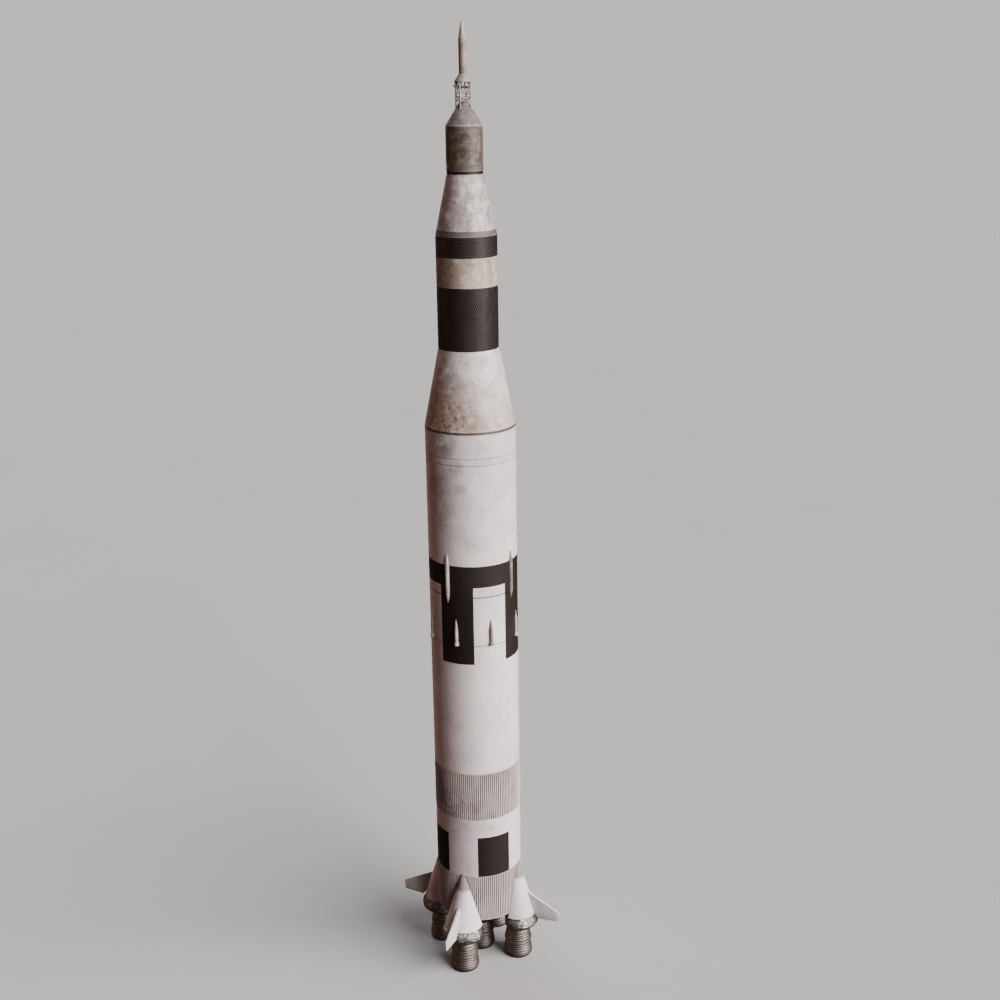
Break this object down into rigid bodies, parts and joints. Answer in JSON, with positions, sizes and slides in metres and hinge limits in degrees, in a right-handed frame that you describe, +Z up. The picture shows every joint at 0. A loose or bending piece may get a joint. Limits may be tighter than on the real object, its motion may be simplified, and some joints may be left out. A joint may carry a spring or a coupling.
{
  "type": "scale model space rocket",
  "caption": "Tall multi-stage moon rocket, a scale model with tail fins, engine fairings, escape tower and gimballed outer engines, standing on its nozzle rims.",
  "frame": {"origin": "on the floor, at the rocket's long axis, where the nozzle rims stand", "axes": "+Z up along the rocket's axis, -Y towards fin 1, +X towards fin 2"},
  "size_m": [2.056, 2.056, 10.856],
  "materials": {
    "white_paint": "matt, soiled",
    "cream_paint": "matt, soiled",
    "grey_paint": "matt, soiled",
    "black_paint": "matt, fine knurled texture",
    "bronze_metal": "satin, bronze grey, mottled",
    "nozzle_metal": "ribbed, heat tinted",
    "silver_foil": "crinkled foil",
    "steel": "satin"
  },
  "bodies": {
    "vehicle": {"aft_skirt": "grey_paint", "base_heat_shield": "grey_paint", "command_module_cover": "grey_paint", "conical_interstage": "white_paint", "engine_fairing_1": "white_paint", "engine_fairing_2": "white_paint", "engine_fairing_3": "white_paint", "engine_fairing_4": "white_paint", "escape_motor": "cream_paint", "escape_nose": "white_paint", "escape_skirt": "grey_paint", "escape_tower": "grey_paint", "fairing_closeout_1": "silver_foil", "fairing_closeout_2": "silver_foil", "fairing_closeout_3": "silver_foil", "fairing_closeout_4": "silver_foil", "feed_line_fairing_1": "white_paint", "feed_line_fairing_2": "white_paint", "feed_line_fairing_3": "white_paint", "feed_line_fairing_4": "white_paint", "fin_1": "white_paint", "fin_2": "white_paint", "fin_3": "white_paint", "fin_4": "white_paint", "first_stage_forward_skirt": "white_paint", "fuel_tank": "white_paint", "hydrogen_tank": "white_paint", "interstage_ring": "white_paint", "intertank": "grey_paint", "nozzle_extension_centre": "nozzle_metal", "oxidiser_tank": "white_paint", "second_stage_aft_skirt": "black_paint", "second_stage_forward_skirt": "white_paint", "service_module": "bronze_metal", "spacecraft_adapter": "grey_paint", "third_stage_aft_skirt": "black_paint", "third_stage_forward_skirt": "black_paint", "third_stage_tank": "cream_paint", "thrust_chamber_centre": "nozzle_metal", "ullage_motor_1": "white_paint", "ullage_motor_2": "white_paint", "ullage_motor_3": "white_paint", "ullage_motor_4": "white_paint", "ullage_motor_5": "white_paint", "ullage_motor_6": "white_paint", "ullage_motor_7": "white_paint", "ullage_motor_8": "white_paint"},
    "engine_1_gimbal": {"gimbal_cross_1": "steel"},
    "engine_1": {"thrust_chamber_1": "nozzle_metal", "nozzle_extension_1": "nozzle_metal"},
    "engine_2_gimbal": {"gimbal_cross_2": "steel"},
    "engine_2": {"thrust_chamber_2": "nozzle_metal", "nozzle_extension_2": "nozzle_metal"},
    "engine_3_gimbal": {"gimbal_cross_3": "steel"},
    "engine_3": {"thrust_chamber_3": "nozzle_metal", "nozzle_extension_3": "nozzle_metal"},
    "engine_4_gimbal": {"gimbal_cross_4": "steel"},
    "engine_4": {"thrust_chamber_4": "nozzle_metal", "nozzle_extension_4": "nozzle_metal"}
  },
  "joints": [
    {"name": "engine_1_swing_x", "type": "hinge", "parent": "vehicle", "child": "engine_1_gimbal", "pos_m": [0, -0.495, 0.61], "axis": [1, 0, 0], "range_deg": [-5, 5]},
    {"name": "engine_1_swing_y", "type": "hinge", "parent": "engine_1_gimbal", "child": "engine_1", "pos_m": [0, -0.495, 0.61], "axis": [0, 1, 0], "range_deg": [-5, 5]},
    {"name": "engine_2_swing_y", "type": "hinge", "parent": "vehicle", "child": "engine_2_gimbal", "pos_m": [0.495, 0, 0.61], "axis": [0, 1, 0], "range_deg": [-5, 5]},
    {"name": "engine_2_swing_x", "type": "hinge", "parent": "engine_2_gimbal", "child": "engine_2", "pos_m": [0.495, 0, 0.61], "axis": [1, 0, 0], "range_deg": [-5, 5]},
    {"name": "engine_3_swing_x", "type": "hinge", "parent": "vehicle", "child": "engine_3_gimbal", "pos_m": [0, 0.495, 0.61], "axis": [1, 0, 0], "range_deg": [-5, 5]},
    {"name": "engine_3_swing_y", "type": "hinge", "parent": "engine_3_gimbal", "child": "engine_3", "pos_m": [0, 0.495, 0.61], "axis": [0, 1, 0], "range_deg": [-5, 5]},
    {"name": "engine_4_swing_y", "type": "hinge", "parent": "vehicle", "child": "engine_4_gimbal", "pos_m": [-0.495, 0, 0.61], "axis": [0, 1, 0], "range_deg": [-5, 5]},
    {"name": "engine_4_swing_x", "type": "hinge", "parent": "engine_4_gimbal", "child": "engine_4", "pos_m": [-0.495, 0, 0.61], "axis": [1, 0, 0], "range_deg": [-5, 5]}
  ]
}
